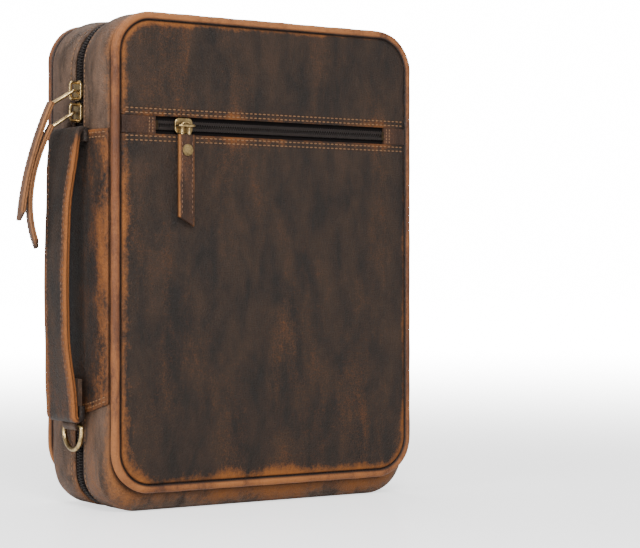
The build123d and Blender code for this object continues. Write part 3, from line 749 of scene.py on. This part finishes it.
for tag, side, body in halves:
    depth = np.array([case["zipHalf"] + gussetLook["seam"]])
    line, normal = gussetSkin(depth, np.array([0.0]), side, np.array([1.0]))
    line, normal = line[:, 0], normal[:, 0]
    order = clearOfSpine(line, spineLow[2] + 4 * mm, spineHigh[2] - 2 * mm, 1 * mm)
    addStitches(f"{tag}ZipStitches", line[order], normal[order], body,
                {"pitch": 2.6 * mm, "length": 1.8 * mm, "lift": 0.22 * mm})
print("gussets and their stitches")


# main zip: tape, and interlocked nylon loops along the middle of the gusset
tapeLook = {
    "depths": np.array([0.08, 1.5, 3.0, 4.2, 4.8, 5.4, 6.5, 8.0]) * mm,
    "sunk": np.array([1.35, 1.35, 1.35, 1.4, 1.7, 2.15, 2.25, 2.3]) * mm,
    "thick": 0.4 * mm,
}
teethLook = {"pitch": 1.5 * mm, "reach": 1.8 * mm, "half": 0.45 * mm, "tall": 0.75 * mm,
             "depth": 1.15 * mm, "sunk": 0.85 * mm}
underSpine = 3 * mm  # tape and loops end this far round under the spine panel


def addTape(tag, side, body):
    # a thin profile carried round the outline: high between the leather edges, diving under them
    depth, out = tapeLook["depths"], -tapeLook["sunk"]
    points, _ = gussetPoints(depth, out)
    back, _ = gussetPoints(depth[::-1], out[::-1] - tapeLook["thick"])
    points = np.concatenate([points, back], 1) * np.array([1, side, 1])
    points = points[clearOfSpine(points[:, 0], spineLow[2], spineHigh[2], underSpine)]
    piece = addMesh(f"{tag}ZipTape", points, tubeFaces(*points.shape[:2]), mats["tapeCloth"])
    turnOutwards(piece)
    replaceHalf(tag, "zip_tape")
    carry(piece, body)


def addTeeth(tag, side, body):
    # one oval loop at every pitch, the two sides half a pitch apart
    line, normal = gussetPoints(np.array([teethLook["depth"]]), np.array([-teethLook["sunk"]]))
    line = line[:, 0] * np.array([1, side, 1])
    normal = normal[:, 0]
    order = clearOfSpine(line, spineLow[2], spineHigh[2] + 1 * mm, underSpine)
    start = 0.25 if side > 0 else 0.75
    centre, _, up = spaced(line[order], normal[order], teethLook["pitch"], start)
    across = facing([0, side, 0], len(up))
    size = (teethLook["reach"], teethLook["half"], teethLook["tall"])
    piece = addOvals(f"{tag}ZipLoops", centre, across, np.cross(up, across), up, size, mats["zipNylon"])
    replaceHalf(tag, "zip_coil")
    carry(piece, body)


for tag, side, body in halves:
    addTape(tag, side, body)
for tag, side, body in halves:
    addTeeth(tag, side, body)
print("main zip")


# panels: leather pulled down into the seam, slightly full in the middle
def insideDistance(x, z):
    # distance from the rounded edge of the panel, positive inside
    halfX = case["halfWidth"] - panelInset
    halfZ = (case["high"] - case["low"]) / 2 - panelInset
    r = case["corner"] - panelInset
    qx = np.abs(x) - (halfX - r)
    qz = np.abs(z - case["midHeight"]) - (halfZ - r)
    outside = np.hypot(np.maximum(qx, 0), np.maximum(qz, 0)) + np.minimum(np.maximum(qx, qz), 0)
    return r - outside


panelLook = {
    "dome": 0.9 * mm,
    "drop": 1.5 * mm,  # into the seam at the welt, over this reach
    "reach": 1.1 * mm,
    "lumps": 0.16 * mm,
    "thick": 1.4 * mm,
    "fold": 0.7 * mm,  # the pocket's edges turn in
    "rows": (1.4 * mm, 3.6 * mm),  # stitch rows, from the pocket's edge
    "rowDip": 0.28 * mm,
    "gridRows": 170,
    "gridColumns": 130,
    "rub": {"border": 0.66, "low": 0.1, "left": 0.06, "pocket": 0.36},
    "border": {"wide": 9 * mm, "lessRight": 3 * mm, "lessHigh": 4 * mm},
}
panelInset = case["weltRadius"] - 0.5 * mm
panelFaces = {-1: corners("front_panel_lower")[0][1], 1: corners("rear_panel")[1][1]}


def panelDepth(x, z, side, edges):
    # y of the leather: a low dome, less a dip at the welt, less grooves along the sewn edges
    distance = np.maximum(insideDistance(x, z), 0)
    dome = panelLook["dome"] * np.clip(distance / (60 * mm), 0, 1) ** 0.5
    drop = panelLook["drop"] * np.exp(-distance / panelLook["reach"])
    lumps = softWave(x, 0 * x, z, 0.024) * panelLook["lumps"] * np.clip(distance / (10 * mm), 0, 1)
    y = panelFaces[side] * side + dome - drop + lumps
    for edge in edges:
        near = np.abs(z - edge)
        y = y - panelLook["fold"] * np.exp(-near / (0.45 * mm))
        for row in panelLook["rows"]:
            y = y - panelLook["rowDip"] * np.exp(-(((near - row) / (0.6 * mm)) ** 2))
    return side * y


def addPanel(name, node, side, low, high, edges, body):
    # a grid over the rounded rectangle between two heights, at the depth given above
    rub = panelLook["rub"]
    r = case["corner"] - panelInset
    # rows crowd towards the sewn edges, where the dips under the stitches are narrow
    rows = panelLook["gridRows"]
    ease = (1 - np.cos(np.linspace(0, np.pi, rows))) / 2
    z = low + (high - low) * (0.8 * ease + 0.2 * np.linspace(0, 1, rows))
    halfZ = (case["high"] - case["low"]) / 2 - panelInset
    past = np.clip(np.abs(z - case["midHeight"]) - (halfZ - r), 0, r)
    half = case["halfWidth"] - panelInset - r + np.sqrt(np.maximum(r * r - past * past, 0))
    across = np.linspace(-1, 1, panelLook["gridColumns"])
    across = np.sign(across) * (1 - (1 - np.abs(across)) ** 1.4)
    x = half[:, None] * across[None, :]
    z = np.broadcast_to(z[:, None], x.shape)
    distance = np.maximum(insideDistance(x, z), 0)
    # the rubbed border is widest at the left and the bottom
    border = panelLook["border"]["wide"] - panelLook["border"]["lessRight"] * np.clip(x / (80 * mm), 0, 1)
    border = border - panelLook["border"]["lessHigh"] * np.clip((z - 200 * mm) / (40 * mm), 0, 1)
    wear = np.clip(1 - distance / border, 0, 1) ** 1.2 * rub["border"]
    wear = wear + rub["low"] * np.clip(1 - (z - case["low"]) / (70 * mm), 0, 1)
    wear = wear + rub["left"] * np.clip(-x / (90 * mm), 0, 1)
    # painted shade where the leather drops into the seam at the welt
    grooveShade = np.clip(1.5 - distance / (0.85 * mm), 0, 1)
    for edge in edges:
        wear = np.maximum(wear, np.clip(1 - np.abs(z - edge) / (7 * mm), 0, 1) * rub["pocket"])
    points = np.stack([x, panelDepth(x, z, side, edges), z], -1)
    faces = gridFaces(*x.shape)
    faces = faces if side < 0 else faces[:, ::-1]
    piece = addMesh(name, points, faces, mats["panelLeather"], {"wear": wear, "grooveShade": grooveShade})
    thicken(piece, panelLook["thick"])
    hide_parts(node)
    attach(piece, body)


panelLow = case["low"] + case["weltRadius"] - 0.5 * mm
panelHigh = case["high"] - case["weltRadius"] + 0.5 * mm
pocketLow, pocketHigh = case["pocketLow"], case["pocketHigh"]
addPanel("frontPanelLow", "front_panel_lower", -1, panelLow, pocketLow, [pocketLow], "case_front")
addPanel("frontPanelHigh", "front_panel_upper", -1, pocketHigh, panelHigh, [pocketHigh], "case_front")
addPanel("rearPanelLeather", "rear_panel", 1, panelLow, panelHigh, [], "case_back")

pocketSeam = {"pitch": 2.7 * mm, "length": 1.9 * mm, "radius": 0.36 * mm, "lift": 0.2 * mm}
reach = case["halfWidth"] - case["weltRadius"] - 1.5 * mm
for tag, edge, sign in (("low", pocketLow, -1), ("high", pocketHigh, 1)):
    for number, row in enumerate(panelLook["rows"]):
        x = np.linspace(-reach, reach, 90)
        z = np.full(90, edge + sign * row)
        line = np.stack([x, panelDepth(x, z, -1, [edge]), z], -1)
        name = f"{tag}PocketStitches{number + 1}"
        addStitches(name, line, facing([0, -1, 0], 90), "case_front", pocketSeam)

# the short tabs at both ends of the pocket's zip are sewn down with upright rows
tabSeam = {"pitch": 1.5 * mm, "length": 1.2 * mm, "radius": 0.25 * mm, "lift": 0.02 * mm}
tabRows = (1.6 * mm, 3.6 * mm)  # from the pocket zip's opening
tabLow, tabHigh = corners("pocket_end_tabs")
windowLow, windowHigh = corners("pocket_zip_stops")
for tag, edge, sign in (("Left", windowLow[0], -1), ("Right", windowHigh[0], 1)):
    for number, row in enumerate(tabRows):
        x = edge + sign * row
        line = np.linspace([x, tabLow[1], tabLow[2] + 0.4 * mm], [x, tabLow[1], tabHigh[2] - 0.4 * mm], 8)
        name = f"tabStitches{tag}{number + 1}"
        addStitches(name, line, facing([0, -1, 0], 8), "case_front", tabSeam)
print("panels and pocket stitches")


# straps: a flat leather strip carried along a path
def stripMesh(name, path, acrossDir, halfWidth, thickness, slant, material, look):
    # section: two flat faces joined by squared half circles, whose height and reach are sine and cosine;
    # the faces are worn beside their edges, and the far end is cut on a slant
    look = {"edgeWear": 0.85, "unshadedShare": 1.0, **look}
    n = len(path)
    tangent = normalise(np.gradient(path, axis=0))
    across = normalise(np.broadcast_to(acrossDir, path.shape) + 0 * path)
    up = normalise(np.cross(tangent, across))
    r = thickness / 2
    turn = np.radians(np.linspace(90, -90, 9))
    rounded = np.abs(np.cos(turn)) ** 0.45
    inner = np.linspace(1, -1, 13)[1:-1]
    # columns: share of the width inside the edge, how far into the edge, height
    share = np.concatenate([np.ones(9), inner, -np.ones(9), -inner])
    edge = np.concatenate([rounded, 0 * inner, rounded, 0 * inner])
    rise = np.concatenate([np.sin(turn), -np.ones(11), -np.sin(turn), np.ones(11)])
    width = (np.ones(n) * halfWidth)[:, None] - r
    offset = share[None, :] * width + np.sign(share)[None, :] * edge[None, :] * r
    shift = slant * (offset / (width + r)) * (np.linspace(0, 1, n)[:, None] ** 6)
    points = (path[:, None] + offset[..., None] * across[:, None]
              + (rise * r)[None, :, None] * up[:, None] + shift[..., None] * tangent[:, None])
    inside = width + r - np.abs(offset)
    face = np.clip(1 - inside / look["band"], 0, 1) ** 0.7 * look["faceWear"]
    # where the share kept out of shade is low, the rubbed tan gives way to painted shade
    wear = np.maximum(edge[None, :] * look["edgeWear"], face) * (np.ones(n) * look["unshadedShare"])[:, None]
    # painted shade along the middle of each rounded edge, where the two layers meet
    grooveShade = (np.clip(1 - np.abs(rise) / 0.3, 0, 1) * (edge > 0.9) * 0.8)[None, :] + 0 * wear
    piece = addMesh(name, points, tubeFaces(n, len(share)), material, {"wear": wear, "grooveShade": grooveShade})
    turnOutwards(piece)
    return piece, across, up


def smoothPath(points, rounds=4):
    # corner cutting: every round puts two points near each corner
    path = np.array(points, dtype=float)
    for _ in range(rounds):
        first, second = path[:-1], path[1:]
        cut = np.stack([0.75 * first + 0.25 * second, 0.25 * first + 0.75 * second], 1)
        path = np.concatenate([path[:1], cut.reshape(-1, 3), path[-1:]])
    return path


handleLow, handleHigh = corners("handle_strap")
strap = {
    "thick": 3.2 * mm,
    "endHalf": 15.5 * mm,
    "midHalf": 12.0 * mm,
    "endBend": 3.2 * mm,  # how much nearer the case the ends are than the middle
    "chape": 2.4 * mm,  # leather under the lower end
    "seamRows": (1.9 * mm, 3.7 * mm),
    "rub": {"faceWear": 0.68, "band": 6.5 * mm},
    "seam": {"lift": 0.12 * mm, "radius": 0.3 * mm, "thread": "dullThread"},
}
outX = handleLow[0] + strap["thick"] / 2
endX = outX + strap["endBend"]
lowReturn = spineLow[0] - strap["chape"] - strap["thick"] / 2
highReturn = spineLow[0] - strap["thick"] / 2
bottom = handleLow[2] + strap["thick"] / 2
top = handleHigh[2] - strap["thick"] / 2
# from the turned-in lower end, out, up along the grip and back in at the top
handlePath = smoothPath([
    (lowReturn, 0, bottom + 7 * mm), (lowReturn, 0, bottom + 3 * mm), (lowReturn, 0, bottom),
    (endX, 0, bottom), (endX, 0, bottom + 7 * mm), (outX + 0.6 * mm, 0, bottom + 36 * mm),
    (outX, 0, bottom + 62 * mm), (outX, 0, top - 72 * mm), (outX + 1.1 * mm, 0, top - 36 * mm),
    (endX + 0.6 * mm, 0, top - 10 * mm), (endX + 2.2 * mm, 0, top), (highReturn - 0.4 * mm, 0, top),
    (highReturn, 0, top - 2 * mm), (highReturn, 0, top - 6 * mm),
])
fromEnd = np.minimum(handlePath[:, 2] - handleLow[2], handleHigh[2] - handlePath[:, 2])
waist = np.clip((fromEnd - 12 * mm) / (32 * mm), 0, 1)
waist = waist * waist * (3 - 2 * waist)
handleHalf = strap["endHalf"] + (strap["midHalf"] - strap["endHalf"]) * waist
# painted shade: the ends that turn back under the strap lose their rubbed tan and stay dark, as if in shadow
unshadedEnds = np.clip(1 - (handlePath[:, 0] - endX - 0.3 * mm) / (2.5 * mm), 0.1, 1)
handle, across, up = stripMesh("handleLeather", handlePath, [0.0, 1.0, 0.0], handleHalf, strap["thick"],
                               0.0, mats["strapLeather"], {"unshadedShare": unshadedEnds, **strap["rub"]})
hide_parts("handle_strap", "handle_filler", "handle_lining")
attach(handle, "case_back")
outside = np.where(up[:, 0:1] < 0, up, -up)
grip = handlePath[:, 0] < endX + 1.0 * mm
for side, tag in ((-1, "Front"), (1, "Rear")):
    for number, inset in enumerate(strap["seamRows"]):
        seam = handlePath + (side * (handleHalf - inset))[:, None] * across
        seam = (seam + outside * strap["thick"] / 2)[grip]
        addStitches(f"handleStitches{tag}{number + 1}", seam, outside[grip], "case_back", strap["seam"])
print("handle")


# zip pulls: two layers of leather sewn round the wire link
def arcThrough(first, via, last, count=40):
    # a parabola through three points, evenly spaced in its parameter
    t = np.linspace(0, 1, count)[:, None]
    middle = 2 * np.array(via) - (np.array(first) + np.array(last)) / 2
    return (1 - t) ** 2 * np.array(first) + 2 * t * (1 - t) * middle + t ** 2 * np.array(last)


pullSeam = {"pitch": 2.6 * mm, "length": 1.7 * mm, "radius": 0.26 * mm, "thread": "dullThread"}
hangingPull = {"half": 4.7 * mm, "thick": 2.7 * mm, "slant": 2.4 * mm, "overLink": 1.6 * mm,
               "seam": 3.1 * mm, "seamOut": 1.3 * mm, "rub": {"faceWear": 0.25, "band": 2.5 * mm}}
# far end of the link, a point on the way and the tip: millimetres outwards and upwards from the pivot
hangingPulls = {
    "upper": ((12.6, -8.0), (22.6, -37.0), (27.6, -65.0)),
    "lower": ((12.5, -8.5), (22.4, -40.0), (19.4, -68.0)),
}


def addHangingPull(tag, bend):
    # a strip along a parabola in the plane the pull swings in
    joint = next(j for j in frame["joints"] if j["name"] == f"{tag}_pull_swing")
    acrossDir = np.array(joint["axis"])
    outwardDir = np.cross([0.0, 0.0, 1.0], acrossDir)
    outwardDir = outwardDir * np.sign(-outwardDir[0])
    flat = arcThrough(*bend) * mm
    path = np.array(joint["pos_m"]) + flat[:, :1] * outwardDir + flat[:, 1:] * np.array([0, 0, 1.0])
    start = normalise(path[0] - path[1])
    path = np.concatenate([[path[0] + start * hangingPull["overLink"]], path])
    name = f"{tag}PullLeather"
    piece, across, up = stripMesh(name, path, acrossDir, hangingPull["half"], hangingPull["thick"],
                                  hangingPull["slant"], mats["pullLeather"], hangingPull["rub"])
    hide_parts(f"{tag}_pull")
    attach(piece, f"{tag}_puller")
    face = np.where((up @ outwardDir)[:, None] > 0, up, -up)
    for side, row in ((-1, "A"), (1, "B")):
        seam = (path + side * hangingPull["seam"] * across + face * hangingPull["seamOut"])[2:-2]
        addStitches(f"{name}Seam{row}", seam, face[2:-2], f"{tag}_puller", pullSeam)


for tag, bend in hangingPulls.items():
    addHangingPull(tag, bend)

pocketPull = {"thick": 2.7 * mm, "slant": 2.5 * mm, "seam": 3.0 * mm, "seamOut": 1.33 * mm,
              "rub": {"faceWear": 0.3, "band": 2.0 * mm}}
pullLow, pullHigh = corners("pocket_pull")
pullMid = (pullLow + pullHigh) / 2
path = np.linspace([pullMid[0], pullMid[1], pullHigh[2]],
                   [pullMid[0], pullMid[1], pullLow[2] + pocketPull["slant"]], 40)
piece, _, _ = stripMesh("pocketPullLeather", path, [1.0, 0.0, 0.0], (pullHigh[0] - pullLow[0]) / 2,
                              pocketPull["thick"], pocketPull["slant"], mats["tabLeather"],
                              pocketPull["rub"])
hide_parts("pocket_pull")
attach(piece, "pocket_puller")
for side, tag in ((-1, "A"), (1, "B")):
    seam = path[3:-3] + np.array([side * pocketPull["seam"], -pocketPull["seamOut"], 0])
    addStitches(f"pocketPullSeam{tag}", seam, facing([0, -1, 0], len(seam)), "pocket_puller", pullSeam)
print("pulls")

# spine panel: a leather patch over the gusset, tucked into both welts
spineLook = {
    "out": 1.4 * mm,
    "half": spineHigh[1],
    "thick": 1.2 * mm,
    "tongue": 6 * mm,  # how much lower the middle of the bottom edge is
    "folds": 0.25 * mm,
    "puff": 0.6 * mm,
    "rows": (1.8 * mm, 4.0 * mm),  # stitch rows, from the edge
    "rub": {"side": 0.62, "top": 0.62, "low": 0.45},
}


def spinePoints(y, z):
    # outside of the patch: the gusset's side, raised by the leather, sinking at the welts
    side = swell(np.abs(y))[0]
    sink = np.exp(-(case["edgeDepth"] - np.abs(y)) / (1.2 * mm))
    fade = np.clip((30 * mm - np.abs(y)) / (8 * mm), 0, 1)
    folds = softWave(0 * y, y * 1.5, z, 0.026) * spineLook["folds"] * fade
    full = spineLook["puff"] * np.sin(np.clip((np.abs(y) - 5 * mm) / (28 * mm), 0, 1) * np.pi) ** 1.3
    x = -(case["halfWidth"] + side + spineLook["out"] * (1 - sink) + full + folds)
    return np.stack([x, y, z], -1)


share = np.linspace(-1, 1, 81)
y = spineLook["half"] * np.sign(share) * (1 - (1 - np.abs(share)) ** 1.25)
low = spineLow[2] + spineLook["tongue"] * (y / spineLook["half"]) ** 2
z = low[:, None] + (spineHigh[2] - low[:, None]) * np.linspace(0, 1, 100)[None, :]
y = np.broadcast_to(y[:, None], z.shape)
fromEdge = case["edgeDepth"] - np.abs(y)
rub = spineLook["rub"]
wear = np.clip(1 - fromEdge / (20 * mm), 0, 1) * rub["side"]
wear = np.maximum(wear, np.clip(1 - (spineHigh[2] - z) / (7 * mm), 0, 1) * rub["top"])
rubbedLow = np.clip(1 - (z - low[:, None]) / (12 * mm), 0, 1) * rub["low"]
wear = np.maximum(wear, rubbedLow * np.clip(np.abs(y) / (12 * mm), 0, 1))
# painted shade where the patch sinks into the welts
grooveShade = np.clip(1.4 - fromEdge / (1.0 * mm), 0, 1)
spinePatch = addMesh("spinePatch", spinePoints(y, z), gridFaces(81, 100), mats["spineLeather"],
                     {"wear": wear, "grooveShade": grooveShade})
thicken(spinePatch, spineLook["thick"])
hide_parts("spine_panel")
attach(spinePatch, "case_back")
rowY = np.linspace(-1, 1, 70) * (case["edgeDepth"] - 2.2 * mm)
rowLow = spineLow[2] + spineLook["tongue"] * (rowY / spineLook["half"]) ** 2
for tag, edge, sign in (("Top", np.full(70, spineHigh[2]), -1), ("Low", rowLow, 1)):
    for number, row in enumerate(spineLook["rows"]):
        line = spinePoints(rowY, edge + sign * row)
        addStitches(f"spineStitches{tag}{number + 1}", line, facing([-1, 0, 0], 70), "case_back",
                    {"lift": 0.08 * mm, "radius": 0.36 * mm})
print("spine patch")


# pocket zip: two rows of loops that meet in the middle, half a pitch apart
coilLow, coilHigh = corners("pocket_zip_coil")
coilMid = (coilLow + coilHigh) / 2
pocketTeeth = {"pitch": 1.4 * mm, "reach": 1.5 * mm, "half": 0.4 * mm, "tall": 0.6 * mm,
               "apart": 1.1 * mm, "margin": 0.7 * mm}
for side, tag in ((-1, "Low"), (1, "High")):
    count = int((coilHigh[0] - coilLow[0]) / pocketTeeth["pitch"])
    shift = side * pocketTeeth["pitch"] / 4
    y, z = coilLow[1] + pocketTeeth["tall"], coilMid[2] + side * pocketTeeth["apart"]
    centre = np.linspace([coilLow[0] + pocketTeeth["margin"] + shift, y, z],
                         [coilHigh[0] - pocketTeeth["margin"] + shift, y, z], count)
    upright, sideways, outwards = [facing(d, count) for d in ([0, 0, 1], [1, 0, 0], [0, -1, 0])]
    size = (pocketTeeth["reach"], pocketTeeth["half"], pocketTeeth["tall"])
    piece = addOvals(f"pocketZipLoops{tag}", centre, upright, sideways, outwards, size, mats["zipNylon"])
    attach(piece, "case_front")
print("pocket zip")
